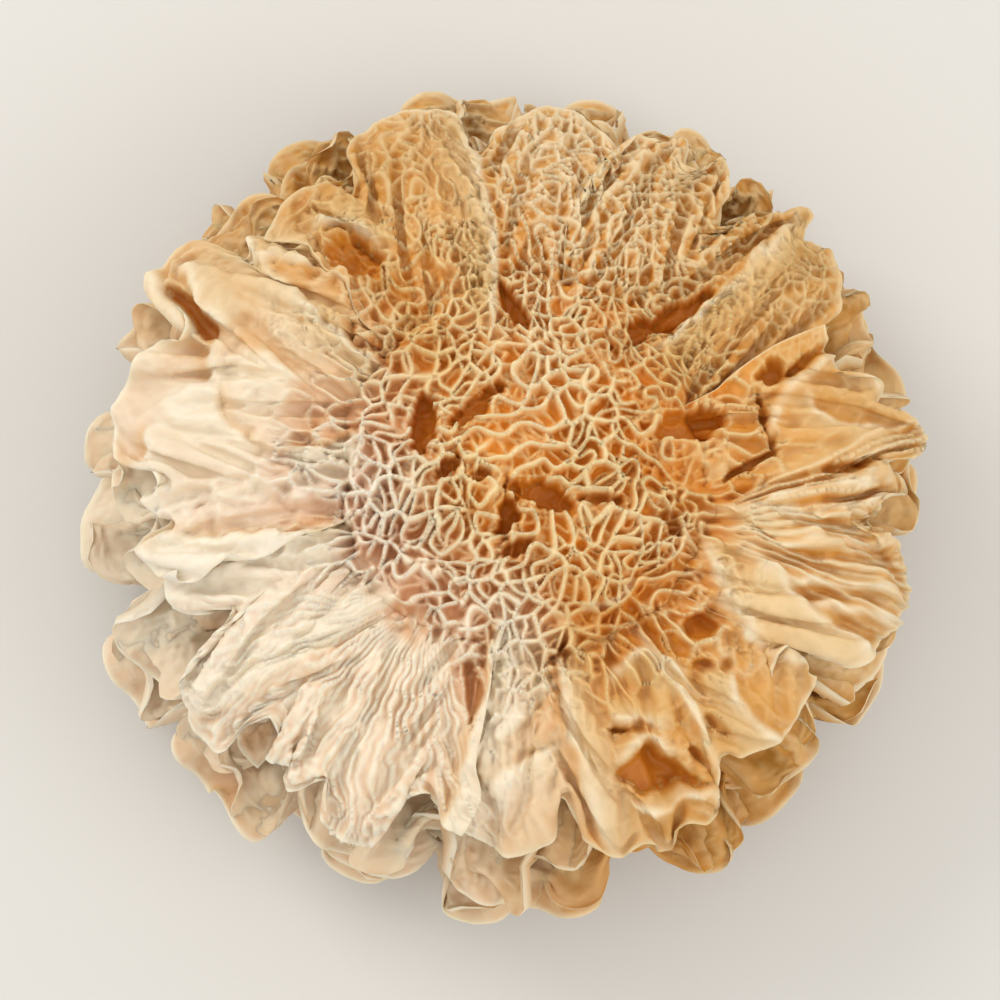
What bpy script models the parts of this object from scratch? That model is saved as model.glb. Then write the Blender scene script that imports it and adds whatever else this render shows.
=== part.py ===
"""A dried snow fungus head, lying on the flat cut where it was taken off its log.

The fruit body is one branching growth: a tough rounded base and the ruffled, fan-shaped fronds that fork
from it. It is split at those main forks, so the base and each main frond are objects of their own.

Metres, +Z up. The origin is the centre of the cut under the base, and the head opens upwards.
Seen from above, +X is to the right and +Y is away from the viewer.
"""

import math
from dataclasses import dataclass

import bmesh
import bpy

# The base: a ball cut off flat at z = 0
BASE_RADIUS = 0.0116
BASE_CENTRE_HEIGHT = 0.0070
BASE_TURN_STEPS = 24
BASE_ARC_STEPS = 8

# What every frond shares
FROND_THICKNESS = 0.0010
SEAM = 0.00035  # the gap that a frond's root keeps to the base
CORNER_DROOP = 0.16  # how much shorter a fan's outermost rays are than its middle ones
LOBE_DEPTH = 0.13  # how far the rim falls back between two lobes, as a share of the ray
LOBES = 2.5  # lobes along the rim
RUFFLES = 2.7  # broad waves across a fan
FINE_RUFFLES = 1.8  # narrow waves for each broad one
FINE_SHARE = 0.25  # the narrow waves' share of the height
RUFFLE_ONSET = 1.6  # the power by which the waves grow from root to rim

# How much the fronds differ from each other, in waves or in degrees
LOBES_VARY = 0.5
RUFFLES_VARY = 0.5
START_VARY = 2
END_VARY = 3
EDGE_LIFT = 5

COLLECTION = "snow_fungus"


@dataclass(frozen=True)
class Ring:
    """Fronds that leave the base at one height. Angles are in degrees above the horizon."""

    name: str
    root_elevation: float  # where on the ball the roots sit
    start_elevation: float  # the way that a ray sets off
    end_elevation: float  # the way that it points at the rim
    root_width: float
    flare: float  # how much of a steep fan's spread stays in its own plane, from 0 to 1
    ruffle: float  # height of the rim's waves
    cells_across: int
    cells_along: int
    fans: tuple  # each fan's azimuth, spread (both in degrees) and length


RINGS = (
    Ring("skirt_frond", -8, 2, -10, 0.0060, 0, 0.0010, 9, 4, (
        (44, 52, 0.0215), (104, 50, 0.0230), (165, 54, 0.0255),
        (226, 52, 0.0250), (288, 52, 0.0225), (350, 50, 0.0210),
    )),
    Ring("lower_frond", 8, 11, -17, 0.0060, 0, 0.0021, 10, 5, (
        (14, 52, 0.0260), (72, 54, 0.0280), (134, 54, 0.0295),
        (196, 56, 0.0310), (256, 54, 0.0285), (317, 54, 0.0265),
    )),
    Ring("middle_frond", 25, 24, -22, 0.0058, 0, 0.0026, 10, 5, (
        (346, 54, 0.0270), (44, 54, 0.0265), (104, 54, 0.0285),
        (165, 54, 0.0310), (226, 56, 0.0305), (286, 54, 0.0290),
    )),
    Ring("upper_frond", 43, 41, -29, 0.0056, 0, 0.0028, 11, 6, (
        (20, 54, 0.0290), (78, 54, 0.0285), (136, 56, 0.0300),
        (196, 56, 0.0325), (258, 56, 0.0315), (320, 56, 0.0295),
    )),
    Ring("top_frond", 62, 58, -37, 0.0050, 0, 0.0028, 11, 6, (
        (352, 56, 0.0350), (48, 52, 0.0335), (105, 54, 0.0345),
        (165, 58, 0.0375), (228, 58, 0.0360), (290, 58, 0.0345),
    )),
    Ring("inner_frond", 73, 70, 22, 0.0040, 0, 0.0015, 8, 4, (
        (20, 66, 0.0170), (92, 66, 0.0175), (164, 66, 0.0180), (236, 68, 0.0180), (308, 66, 0.0170),
    )),
    Ring("heart_frond", 83, 82, 58, 0.0022, 0.3, 0.0008, 7, 3, (
        (60, 96, 0.0135), (180, 96, 0.0145), (300, 96, 0.0140),
    )),
)


def vary(number, salt):
    """A fixed value from -1 to 1 that differs from frond to frond."""
    return math.sin(12.9898 * number + 4.1414 * salt + 1.7 * math.sin(number + salt))


def ray_length(length, across, number):
    """Length of the ray at across, from -1 to 1, with the rim's lobes and its drooping corners."""
    lobes = LOBES + LOBES_VARY * vary(number, 1)
    between_lobes = 0.5 - 0.5 * math.cos(math.pi * (lobes * across + vary(number, 2)))
    return length * (1 - CORNER_DROOP * abs(across) ** 3 - LOBE_DEPTH * between_lobes**3)


def ruffle_height(u, v, ring, number):
    """How far the fan waves out of its smooth shape at u across and v along, both from 0 to 1."""
    waves = RUFFLES + RUFFLES_VARY * vary(number, 3)
    broad = math.sin(2 * math.pi * waves * u + math.pi * vary(number, 4))
    narrow = math.sin(2 * math.pi * FINE_RUFFLES * waves * u + math.pi * vary(number, 5))
    return ring.ruffle * v**RUFFLE_ONSET * ((1 - FINE_SHARE) * broad + FINE_SHARE * narrow)


def frond_point(u, v, ring, spread, length, number):
    """A point of the fan's middle surface. It grows along +X from its root, with +Y across it and +Z up."""
    across = 2 * u - 1
    turn = math.radians(spread) * across / 2
    lift = math.radians(EDGE_LIFT) * vary(number, 6) * across**2
    start = math.radians(ring.start_elevation + START_VARY * vary(number, 7)) + lift / 2
    end = math.radians(ring.end_elevation + END_VARY * vary(number, 8)) + lift
    bend = (end - start) / length
    travelled = v * ray_length(length, across, number)
    elevation = start + bend * travelled
    outwards = (math.sin(elevation) - math.sin(start)) / bend
    upwards = (math.cos(start) - math.cos(elevation)) / bend
    wave = ruffle_height(u, v, ring, number)
    outwards -= wave * math.sin(elevation)
    upwards += wave * math.cos(elevation)
    sideways = outwards + ring.flare * (travelled - outwards)
    root = ring.root_width * across / 2
    sag = root**2 / (2 * BASE_RADIUS)
    return (
        outwards * math.cos(turn) - sag * math.cos(start),
        sideways * math.sin(turn) + root,
        upwards - sag * math.sin(start),
    )


def clear_scene():
    for obj in list(bpy.data.objects):
        bpy.data.objects.remove(obj, do_unlink=True)


def make_material(name, colour, roughness):
    material = bpy.data.materials.new(name)
    material.use_nodes = True
    shader = material.node_tree.nodes["Principled BSDF"]
    shader.inputs["Base Color"].default_value = (*colour, 1.0)
    shader.inputs["Roughness"].default_value = roughness
    shader.inputs["Metallic"].default_value = 0.0
    return material


def add_object(name, mesh, material, collection, parent):
    mesh.materials.append(material)
    obj = bpy.data.objects.new(name, mesh)
    collection.objects.link(obj)
    obj.parent = parent
    return obj


def make_base(material, collection, parent):
    """The tough foot of the fungus: half a ball's outline, cut off flat below, turned about Z."""
    cut_angle = -math.asin(BASE_CENTRE_HEIGHT / BASE_RADIUS)
    angles = [
        math.pi / 2 + (cut_angle - math.pi / 2) * step / BASE_ARC_STEPS for step in range(BASE_ARC_STEPS + 1)
    ]
    outline = [
        (BASE_RADIUS * math.cos(angle), 0, BASE_CENTRE_HEIGHT + BASE_RADIUS * math.sin(angle)) for angle in angles
    ]
    outline[0] = (0, 0, BASE_CENTRE_HEIGHT + BASE_RADIUS)
    outline[-1] = (outline[-1][0], 0, 0)
    outline.append((0, 0, 0))
    mesh = bpy.data.meshes.new("base")
    mesh.from_pydata(outline, [(k, k + 1) for k in range(len(outline) - 1)], [])
    base = add_object("base", mesh, material, collection, parent)
    turned = base.modifiers.new("Turned", "SCREW")
    turned.steps = BASE_TURN_STEPS
    turned.render_steps = BASE_TURN_STEPS
    turned.use_merge_vertices = True
    turned.merge_threshold = 0.00001  # joins only the points on the axis
    return base


def make_frond(name, ring, fan, number, material, collection, parent):
    """One fan: a grid bent to the fan's shape, given its thickness, and set on the base by its root."""
    azimuth, spread, length = fan
    shape = bmesh.new()
    bmesh.ops.create_grid(shape, x_segments=ring.cells_across, y_segments=ring.cells_along, size=0.5)
    for vertex in shape.verts:
        vertex.co = frond_point(vertex.co.x + 0.5, vertex.co.y + 0.5, ring, spread, length, number)
    mesh = bpy.data.meshes.new(name)
    shape.to_mesh(mesh)
    shape.free()
    mesh.shade_smooth()
    frond = add_object(name, mesh, material, collection, parent)
    root = math.radians(ring.root_elevation)
    reach = BASE_RADIUS + SEAM
    frond.location = (
        reach * math.cos(root) * math.cos(math.radians(azimuth)),
        reach * math.cos(root) * math.sin(math.radians(azimuth)),
        BASE_CENTRE_HEIGHT + reach * math.sin(root),
    )
    frond.rotation_euler = (0, 0, math.radians(azimuth))
    thick = frond.modifiers.new("Thick", "SOLIDIFY")
    thick.thickness = FROND_THICKNESS
    thick.offset = 0
    thick.use_even_offset = False
    return frond


def main():
    clear_scene()
    collection = bpy.data.collections.new(COLLECTION)
    bpy.context.scene.collection.children.link(collection)
    head = bpy.data.objects.new("head", None)
    collection.objects.link(head)
    base_material = make_material("base", (0.58, 0.36, 0.15), 0.7)
    frond_material = make_material("frond", (0.86, 0.72, 0.48), 0.55)
    make_base(base_material, collection, head)
    number = 0
    for ring in RINGS:
        for place, fan in enumerate(ring.fans, start=1):
            number += 1
            make_frond(f"{ring.name}_{place}", ring, fan, number, frond_material, collection, head)


main()
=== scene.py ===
"""The looks of a dried snow fungus head.

Each plain frond of the frame is replaced by a fine sheet that grows from the same root in the same
direction. Its rim is longer than the room it has there, so it buckles into soft ruffles. Its upper face
carries thin walls: a net round deep pits near the middle, which runs out into pleats towards the rim.
"""

import math
from dataclasses import dataclass

import bpy
import numpy as np
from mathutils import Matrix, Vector


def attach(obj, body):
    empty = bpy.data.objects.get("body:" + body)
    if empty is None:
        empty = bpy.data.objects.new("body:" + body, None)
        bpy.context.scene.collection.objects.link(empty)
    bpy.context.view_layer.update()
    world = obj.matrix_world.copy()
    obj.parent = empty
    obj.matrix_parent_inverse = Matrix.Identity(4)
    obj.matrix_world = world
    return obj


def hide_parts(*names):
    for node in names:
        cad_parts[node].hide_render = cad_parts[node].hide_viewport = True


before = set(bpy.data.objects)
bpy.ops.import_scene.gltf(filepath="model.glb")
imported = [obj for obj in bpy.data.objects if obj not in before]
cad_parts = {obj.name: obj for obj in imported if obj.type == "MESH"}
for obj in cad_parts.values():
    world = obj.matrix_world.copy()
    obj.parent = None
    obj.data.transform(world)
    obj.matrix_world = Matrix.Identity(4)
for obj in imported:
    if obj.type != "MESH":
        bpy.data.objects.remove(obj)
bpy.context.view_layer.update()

# Sheets are worked out in millimetres and angles in degrees; meshes are made in metres
MM = 0.001
TINY = 1e-9  # the least that a length is divided by

# The base: a ball cut off flat at z = 0, as in the frame
BASE_RADIUS = 11.6
BASE_CENTRE_HEIGHT = 7.0
BASE_GRID = (96, 48)  # points round it and up it
SEAM = 0.35  # how far inside the ball the sheets' roots lie

# The form that the fronds share with the frame's solids
CORNER_DROOP = 0.16
LOBE_DEPTH = 0.13
LOBES = 2.5
RUFFLES = 2.7
FINE_RUFFLES = 1.8
FINE_SHARE = 0.25
RUFFLE_ONSET = 1.6
LOBES_VARY = 0.5
RUFFLES_VARY = 0.5
START_VARY = 2
END_VARY = 3
EDGE_LIFT = 5

# How far inside the solids' reach the sheets stay, so that their ruffles keep to the same size
REACH = 0.960

# Growing a sheet, first on its coarse grid and then on one twice as fine
FROND_ROUNDS = (150, 70)
LOBE_ROUNDS = (120, 50)
STIFFNESS = 0.45  # how much it resists sharp bends
SLANT_PULL = 0.2  # how firmly the diagonals of its cells keep their length
LEAST_HEIGHTS = (0.7, 0.3)  # how far over the floor its upper and lower faces stay

# The walls on the upper faces
PITCH = 1.95  # width of a cell of the net
LANE = 3.1  # two spacings of the walls that wander through it
VEIN = 1.8  # two spacings of the fine walls between them
WAVES = 22  # how many plain waves add up to a wandering wall
WALL = 0.26  # half the width of a wall
FLOOR = 0.5  # how far the pits lie below the sheet
RIM = 0.2  # thickness at the rim
SHEET = 0.4  # thickness a little way in
NORMAL_ROUNDS = 60  # how often the directions in which walls rise are evened out
LEAN_UP = 0.5  # how far those directions are turned upwards
# The tightly folded middle. Its top falls and its underside rises with the square of the radius
HEART_GRID = 241  # points across it
HEART_RADIUS = 19.5
HEART_TOP, HEART_FALL = 29.4, 0.0125
HEART_UNDERSIDE, HEART_RISE = 17.0, 0.016
HEART_RIM, HEART_DROP = (16.0, 19.0), 6  # between which radii its rim bends down, and how far
HEART_SINK = 1.2  # how far the top fronds sink under it
# The lobes: coarse points across and along, and how far along the frond they fork from it
LOBE_GRID = (12, 9)
LOBE_ROOT = 0.5
# Rays of cells: how many go all the way round, how long a cell is for its width, and where they show
RAYS = ((46, 1.7, 0, 16), (66, 2.2, 16, 24), (90, 3.0, 24, 99))
FRINGE = (110, 5.0, 20, 99)  # the finest rays, given in the same way
SWIRL = 0.06  # how far a fan's rays stray from straight, in radians
SIDE_LIFT = 1.1  # how far a fan's one side rises over its neighbour, and its other side dips
SIDE_STRAY = 2.5  # how far a fan's sides stray from straight, in degrees
FINE_NET = 1.3  # how many times finer the net is where it is finest
# Seeds: the top fronds and the middle share one, so that the net runs on from one to the other
TOP_SEED = 1000
FROND_SEED_STEP = 50
LOBE_SEED_STEP = 3000


@dataclass(frozen=True)
class Ring:
    """Fronds that leave the base at one height."""

    name: str
    root_elevation: float
    start_elevation: float
    end_elevation: float
    root_width: float
    ruffle: float
    fans: tuple  # each fan's azimuth, spread and length
    grid: tuple  # coarse points across and along, which are doubled twice
    crowding: float  # how much closer together the points are towards the rim
    growth: float  # how much longer the rim is than its room
    cap: float  # the furthest that a ruffle strays from the smooth sheet
    relief: float
    lobe_lift: float  # how high over the frond its lobes rise, or 0 for none


RINGS = (
    Ring("skirt_frond", -8, 2, -10, 6.0, 1.0, (
        (44, 52, 21.5), (104, 50, 23.0), (165, 54, 25.5), (226, 52, 25.0), (288, 52, 22.5), (350, 50, 21.0),
    ), (18, 11), 0.7, 0.6, 1.2, 0.7, 0),
    Ring("lower_frond", 8, 11, -17, 6.0, 2.1, (
        (14, 52, 26.0), (72, 54, 28.0), (134, 54, 29.5), (196, 56, 31.0), (256, 54, 28.5), (317, 54, 26.5),
    ), (21, 14), 0.7, 0.6, 1.6, 0.8, 2.2),
    Ring("middle_frond", 25, 24, -22, 5.8, 2.6, (
        (346, 54, 27.0), (44, 54, 26.5), (104, 54, 28.5), (165, 54, 31.0), (226, 56, 30.5), (286, 54, 29.0),
    ), (25, 17), 0.7, 0.6, 1.6, 0.9, 2.4),
    Ring("upper_frond", 43, 41, -29, 5.6, 2.8, (
        (20, 54, 29.0), (78, 54, 28.5), (136, 56, 30.0), (196, 56, 32.5), (258, 56, 31.5), (320, 56, 29.5),
    ), (30, 22), 0.65, 0.4, 1.2, 1.0, 2.2),
    Ring("top_frond", 62, 58, -37, 5.0, 2.8, (
        (352, 56, 35.0), (48, 52, 33.5), (105, 54, 34.5), (165, 58, 37.5), (228, 58, 36.0), (290, 58, 34.5),
    ), (43, 34), 0.4, 0.05, 0.4, 1.0, 0),
)


@dataclass(frozen=True)
class Zone:
    """What the head's upper side is like in one direction from its middle."""

    direction: float
    net: float  # height of the net of walls beyond the middle
    rays: float  # height of the walls that run outwards
    fringe: float  # height of the finest rays
    folds: float  # height of the soft, broad folds
    pale: float  # how far a painted wash of reflected light pales the colour
    amber: float  # how much deeper the colour is
    light: float  # how light the sheet is where it is smooth
    petals: float  # height of the petals that lie over each other
    core: float  # how far out the net of the middle reaches
    fine: float  # how much of the net is fine


ZONES = (
    Zone(-32, 0.30, 0.30, 0.0, 0.4, 0.10, 0.10, 0.40, 0.2, 19, 0.0),
    Zone(-12, 0.05, 0.10, 0.0, 0.3, 0.00, 0.55, 0.40, 0.0, 14, 0.0),
    Zone(14, 0.25, 0.35, 0.0, 0.5, 0.00, 0.50, 0.55, 0.0, 15, 0.3),
    Zone(38, 0.95, 0.20, 0.0, 0.4, 0.00, 0.95, 0.20, 0.0, 17, 1.0),
    Zone(85, 0.95, 0.20, 0.1, 0.5, 0.10, 0.15, 0.30, 0.2, 17, 1.0),
    Zone(125, 0.80, 0.20, 0.0, 0.5, 0.00, 1.00, 0.05, 0.3, 17, 0.4),
    Zone(163, 0.10, 0.20, 0.3, 0.25, 0.65, 0.10, 0.60, 1.0, 16, 0.0),
    Zone(190, 0.10, 0.20, 0.3, 0.25, 1.00, 0.00, 0.90, 0.7, 15, 0.0),
    Zone(228, 0.12, 0.30, 0.5, 0.3, 0.85, 0.05, 0.28, 0.3, 13, 0.3),
    Zone(262, 0.20, 0.30, 0.5, 0.4, 0.80, 0.10, 0.60, 0.9, 14, 0.0),
    Zone(290, 0.40, 0.50, 0.1, 0.5, 0.05, 1.00, 0.00, 0.2, 16, 0.0),
    Zone(312, 0.08, 0.15, 0.1, 0.5, 0.05, 0.65, 0.20, 1.0, 17, 0.0),
)

# Deep hollows in the net: place, half length, half width, direction of the length, and depth
HOLLOWS = (
    (-8.6, 3.8, 2.8, 1.2, 75, 3.5),
    (-15.4, 11.6, 1.4, 0.9, 60, 2.5),
    (-18.4, 13.2, 1.1, 0.5, -50, 2.0),
    (-1.3, -4.2, 2.4, 1.1, 75, 3.5),
    (1.5, -2.5, 2.9, 1.1, -22, 3.5),
    (6.2, -2.8, 1.8, 0.5, 0, 2.0),
    (14.2, 4.0, 2.9, 1.3, 10, 3.0),
    (15.9, -12.9, 1.9, 1.2, 25, 2.5),
    (12.9, -4.6, 1.6, 0.7, -55, 1.8),
    (3.2, -16.1, 2.2, 1.0, 80, 2.5),
    (10.6, -25.3, 2.3, 1.8, -10, 3.2),
    (14.2, -26.3, 2.0, 0.6, -35, 2.6),
    (9.5, -22.3, 2.2, 0.4, -5, 2.2),
    (16.4, -21.8, 1.6, 0.4, -42, 2.2),
    (14.7, -24.3, 1.3, 0.4, -48, 2.2),
    (15.2, -17.9, 1.5, 1.0, -60, 2.0),
    (-1.3, 14.6, 3.6, 1.0, -55, 3.0),
    (-4.0, 5.3, 2.2, 0.9, 40, 2.5),
    (-15.2, 19.0, 3.0, 1.7, -10, 2.2),
    (13.8, 13.5, 6.0, 1.3, 22, 3.0),
    (21.4, 8.4, 1.6, 1.0, 15, 2.4),
    (25.2, 9.8, 4.0, 0.55, 30, 2.0),
    (20.8, 4.4, 2.6, 0.45, 105, 2.0),
    (19.0, 0.3, 2.6, 0.45, 30, 2.0),
    (27.6, 0.3, 2.2, 0.5, 8, 2.2),
    (-6.1, 0.1, 1.3, 0.9, 30, 2.5),
    (-3.6, -0.7, 0.9, 0.6, 20, 2.0),
    (-0.6, -6.9, 1.5, 0.7, 20, 2.5),
    (-28.2, 13.4, 2.9, 1.1, -44, 2.5),
    (-24.0, -4.0, 9.0, 1.3, 5, 0.7),
    (-3.8, -20.5, 4.4, 0.8, -77, 1.6),
)


@dataclass(frozen=True)
class Edge:
    """A petal's edge that stands over the sheet beside it, on a curve through three places."""

    start: tuple
    middle: tuple
    end: tuple
    height: float
    breadth: float  # how far off the petal sinks into the sheet, to the curve's left, or right if below 0


EDGES = (
    Edge((-9.0, 7.0), (-20.0, 15.5), (-27.0, 26.0), 1.6, 4.0),
    Edge((-2.0, -11.0), (-3.6, -21.0), (-8.4, -36.0), 1.6, 4.0),
    Edge((2.6, -14.0), (4.4, -24.0), (8.6, -35.5), 1.5, 3.0),
    Edge((8.0, -12.0), (15.4, -22.6), (19.0, -31.0), 1.5, -1.4),
    Edge((9.0, 9.0), (17.6, 15.6), (26.4, 25.6), 1.5, -3.0),
    Edge((-2.4, 9.6), (-3.0, 22.0), (-6.4, 35.4), 1.4, 3.0),
    Edge((-8.6, -8.6), (-19.6, -16.6), (-31.4, -22.0), 0.7, -4.0),
    Edge((-32.6, 19.0), (-30.6, 15.0), (-27.6, 11.0), 1.9, -5.0),
    Edge((-30.0, 18.6), (-27.2, 14.6), (-24.4, 11.4), 1.9, 3.0),
    Edge((-25.3, 11.1), (-22.0, 9.6), (-18.0, 7.3), 1.5, -3.5),
    Edge((-25.3, 17.0), (-21.5, 18.3), (-17.4, 16.8), 1.5, 2.5),
    Edge((-26.0, 8.0), (-25.6, 4.0), (-21.0, 1.2), 1.5, -4.0),
    Edge((-21.0, 1.2), (-17.4, 1.6), (-13.5, 3.4), 1.2, -3.0),
    Edge((-37.0, 0.6), (-35.4, -4.4), (-30.0, -5.8), 2.6, 5.0),
    Edge((-32.4, -5.4), (-23.0, -6.2), (-13.6, -4.4), 1.9, -5.0),
    Edge((-37.0, 0.8), (-35.0, 0.6), (-33.4, -2.6), 1.2, -2.0),
    Edge((-2.4, -25.0), (0.4, -20.4), (3.2, -18.2), 1.4, 2.5),
    Edge((-4.0, -27.6), (0.0, -25.0), (3.9, -23.2), 1.4, -3.0),
    Edge((6.8, -19.4), (10.6, -15.8), (15.6, -20.4), 1.8, -3.5),
    Edge((6.8, -22.0), (9.4, -21.2), (12.8, -22.6), 1.8, 2.0),
    Edge((7.9, -25.8), (9.9, -22.8), (13.2, -24.4), 2.1, 0.9),
    Edge((8.2, -27.2), (11.4, -28.6), (13.4, -26.4), 2.1, -1.1),
    Edge((13.0, -26.6), (14.8, -27.2), (17.4, -28.6), 2.0, -1.1),
    Edge((17.6, -16.4), (18.6, -20.2), (24.6, -25.6), 1.4, -3.5),
    Edge((24.6, -19.4), (25.2, -23.0), (25.4, -27.0), 1.1, 2.5),
    Edge((15.4, -4.8), (17.2, -10.8), (20.9, -15.8), 1.7, 3.4),
    Edge((20.4, -15.7), (26.4, -16.4), (32.4, -18.2), 1.7, 2.4),
    Edge((18.4, -6.2), (24.6, -12.2), (32.8, -17.6), 2.8, -4.6),
    Edge((14.6, -3.8), (24.0, -2.2), (33.0, 1.4), 1.8, -1.0),
    Edge((17.0, -4.0), (24.4, -3.6), (33.2, -2.6), 1.5, -0.8),
    Edge((25.4, -0.6), (29.6, -1.2), (33.4, -0.6), 1.6, 0.9),
    Edge((15.4, -4.8), (24.2, -6.4), (34.2, -6.0), 2.2, 1.2),
    Edge((20.4, -9.2), (26.8, -9.9), (34.4, -10.6), 1.8, 1.0),
    Edge((22.8, -11.2), (28.2, -12.0), (33.0, -13.4), 1.5, 0.8),
    Edge((28.1, 10.8), (22.6, 6.4), (21.6, 1.4), 1.5, 1.3),
    Edge((24.4, 7.4), (26.4, 4.4), (33.4, 3.8), 0.9, -1.8),
    Edge((28.6, 12.4), (29.8, 9.4), (31.0, 6.2), 1.0, -2.4),
    Edge((-20.4, 14.0), (-17.2, 12.4), (-14.6, 10.2), 1.1, 2.0),
    Edge((-19.0, 19.6), (-15.4, 21.6), (-11.4, 18.4), 1.9, 2.0),
)
EDGE_POINTS = 60  # points along each edge's curve
EDGE_FADE = 12  # over how many of them it fades at each end
# Petals that lie over each other: how far out their roots are, how many go round, and how long they are
PETAL_ROWS = ((9.0, 13, 8.5), (14.5, 15, 9.0), (20.0, 18, 9.0), (26.0, 21, 9.0))


@dataclass(frozen=True)
class Fan:
    """Tight pleats that run out from one place and fork."""

    origin: complex
    directions: tuple  # the way that the outermost ones run
    count: int
    reach: tuple  # how far from the origin they start, fork and end
    height: float
    width: float  # half the width of a crest
    stray: float  # how far the pleats wander, in pleats


FANS = (
    Fan(14.0 - 4.6j, (-30, 26), 12, (3.0, 11.0, 24.0), 1.6, 0.24, 0.25),
    Fan(-7.6 - 9.6j, (186, 282), 26, (4.0, 10.0, 24.0), 0.75, 0.2, 1.0),
)

# Floor and camera, with lengths in metres
FLOOR_REACH = 20.0
CAMERA_ELEVATION = 83  # degrees
CAMERA_DISTANCE = 0.215
CAMERA_LENS = 85  # millimetres
LOOK_AT = Vector((-0.002, -0.001, 0.014))


# Smooth random fields


def noise1(x, seed, count=64):
    """Smooth random wave along x, one value per unit, from -1 to 1."""
    values = np.random.default_rng(seed).uniform(-1, 1, count)
    cell = np.floor(x).astype(int)
    part = x - cell
    part = part * part * (3 - 2 * part)
    return values[cell % count] * (1 - part) + values[(cell + 1) % count] * part


def noise2(x, y, seed, count=61):
    """Smooth random field over x and y, one value per unit square, from -1 to 1. It repeats after count."""
    values = np.random.default_rng(seed).uniform(-1, 1, (count, count))
    cx, cy = np.floor(x).astype(int), np.floor(y).astype(int)
    px, py = x - cx, y - cy
    px = px**3 * (px * (px * 6 - 15) + 10)
    py = py**3 * (py * (py * 6 - 15) + 10)
    near = values[cx % count, cy % count] * (1 - px) + values[(cx + 1) % count, cy % count] * px
    far = values[cx % count, (cy + 1) % count] * (1 - px) + values[(cx + 1) % count, (cy + 1) % count] * px
    return near * (1 - py) + far * py


def wall_distance(x, y, width, length, seed, count):
    """Millimetres to the nearest wall of a net. x and y count its scattered cells, of width by length."""
    scatter = np.random.default_rng(seed).uniform(0.08, 0.92, (count, count, 2))
    scatter = scatter[..., 0] + 1j * scatter[..., 1]
    cell_x, cell_y = np.floor(x).astype(int), np.floor(y).astype(int)
    nearest = np.full(x.shape, 9 + 0j)
    second = np.full(x.shape, 9 + 0j)
    for step_x in (-1, 0, 1):
        for step_y in (-1, 0, 1):
            centre = scatter[(cell_x + step_x) % count, (cell_y + step_y) % count]
            away = centre + (cell_x + step_x - x) + 1j * (cell_y + step_y - y)
            closer = np.abs(away) < np.abs(nearest)
            other = np.where(closer, nearest, away)
            second = np.where(np.abs(other) < np.abs(second), other, second)
            nearest = np.where(closer, away, nearest)
    apart = second - nearest
    slope = np.hypot(apart.real / width, apart.imag / length)
    return (np.abs(second) ** 2 - np.abs(nearest) ** 2) / (2 * slope)


def smoothstep(low, high, x):
    t = np.clip((x - low) / (high - low), 0, 1)
    return t * t * (3 - 2 * t)


def ridge(distance, width):
    return np.exp(-((distance / width) ** 2))


def wandering(x, y, wavelength, seed):
    """Millimetres to the nearest of a set of walls that wander half a wavelength apart."""
    draw = np.random.default_rng(seed)
    level, slope_x, slope_y = (np.zeros_like(x) for _ in range(3))
    for _ in range(WAVES):
        direction, start = draw.uniform(0, 2 * math.pi, 2)
        steepness = 2 * math.pi / wavelength * draw.uniform(0.8, 1.2)
        across, along_y = steepness * math.cos(direction), steepness * math.sin(direction)
        phase = across * x + along_y * y + start
        level += np.cos(phase)
        slope_x += across * np.sin(phase)
        slope_y += along_y * np.sin(phase)
    usual = math.sqrt(WAVES / 2) * 2 * math.pi / wavelength
    return np.abs(level) / np.maximum(np.hypot(slope_x, slope_y), 0.4 * usual)


def net_walls(x, y, seed, standing):
    """A net of cells, some of its walls broken down, with walls of two sizes that wander through it."""
    cells = ridge(wall_distance(x / PITCH, y / PITCH, PITCH, PITCH, seed, 61), WALL) * standing
    lanes = ridge(wandering(x, y, LANE, seed + 1), WALL) * (1.1 - 0.3 * standing)
    veins = 0.4 * ridge(wandering(x, y, VEIN, seed + 2), 0.8 * WALL)
    return np.maximum(np.maximum(cells, lanes), veins)


def labyrinth(x, y, width, length, seed, standing, count):
    """A net of walls, some broken down, crossed by walls that wander. x and y count its cells."""
    net = ridge(wall_distance(x, y, width, length, seed, count), WALL)
    step = 0.02
    wander = noise2(x, y, seed + 1, count)
    slope_x = (noise2(x + step, y, seed + 1, count) - wander) / (step * width)
    slope_y = (noise2(x, y + step, seed + 1, count) - wander) / (step * length)
    away = np.abs(wander) / np.maximum(np.hypot(slope_x, slope_y), 0.6 / length)
    return np.maximum(net * standing, (1.15 - 0.5 * standing) * ridge(away, WALL))


def zone_value(name, direction):
    """One of the zones' values in a direction in degrees, going evenly from each zone to the next."""
    values = [getattr(zone, name) for zone in ZONES]
    return np.interp(direction, [zone.direction for zone in ZONES], values, period=360)


def rays(radius, turn, warp, band, seed, standing):
    """Walls round cells that are longer outwards than they are wide."""
    count, stretch, start, end = band
    pitch = 2 * math.pi * radius / count
    length = 2 * math.pi * min((start + end) / 2, 30) / count * stretch
    across, outwards = turn * count + warp[0] / pitch, (radius + warp[1]) / length
    walls = labyrinth(across, outwards, pitch, length, seed, standing, count)
    ragged = radius + 1.2 * warp[0]
    walls *= smoothstep(start - 0.5, start + 0.5, ragged)
    return walls * (1 - smoothstep(end - 0.5, end + 0.5, ragged))


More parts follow.
